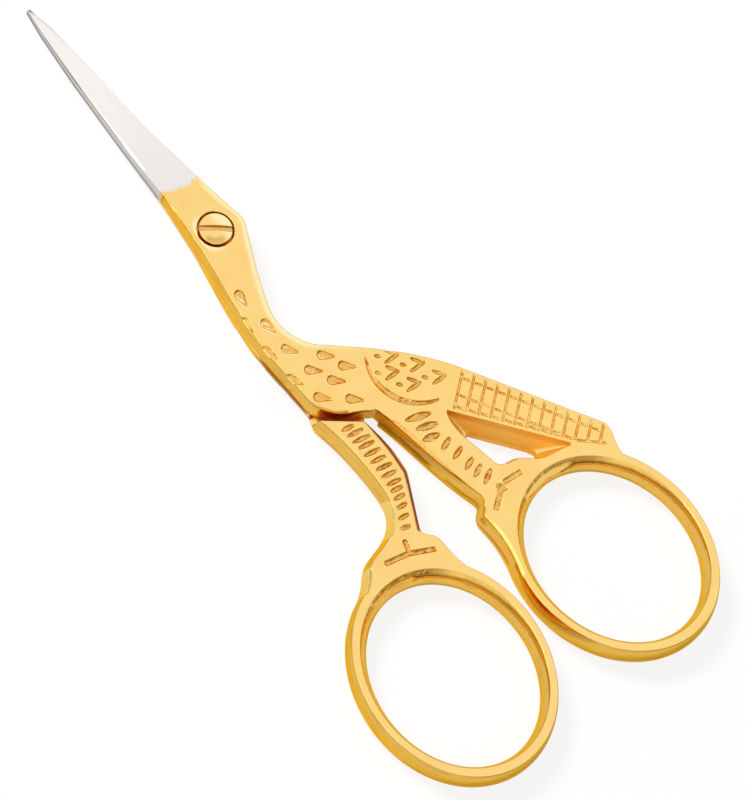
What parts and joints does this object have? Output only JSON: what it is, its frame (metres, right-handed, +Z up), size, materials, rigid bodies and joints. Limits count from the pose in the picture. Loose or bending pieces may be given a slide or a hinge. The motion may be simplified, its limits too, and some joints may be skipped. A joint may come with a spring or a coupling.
{
  "type": "embroidery scissors",
  "caption": "Stork-shaped embroidery scissors: slim pointed blades form the beak, an engraved gilt body and legs end in finger rings, joined by a slotted pivot screw.",
  "frame": {"origin": "on the pivot axis, in the flat underside that the scissors rest on", "axes": "+Y along the blades to the tips, +Z up out of the upper half and along the pivot axis, +X to the side of the upper half's finger ring; stored closed"},
  "size_m": [0.0406, 0.0909, 0.0037],
  "materials": {
    "gold_plate": "polished",
    "blade_steel": "polished"
  },
  "bodies": {
    "rear": {"rear_handle": "gold_plate", "rear_blade": "blade_steel", "pivot_screw": "gold_plate"},
    "front": {"front_handle": "gold_plate", "front_blade": "blade_steel"}
  },
  "joints": [
    {"name": "pivot", "type": "hinge", "parent": "rear", "child": "front", "pos_m": [0, 0, 0.00175], "axis": [0, 0, 1], "range_deg": [0, 60]}
  ]
}
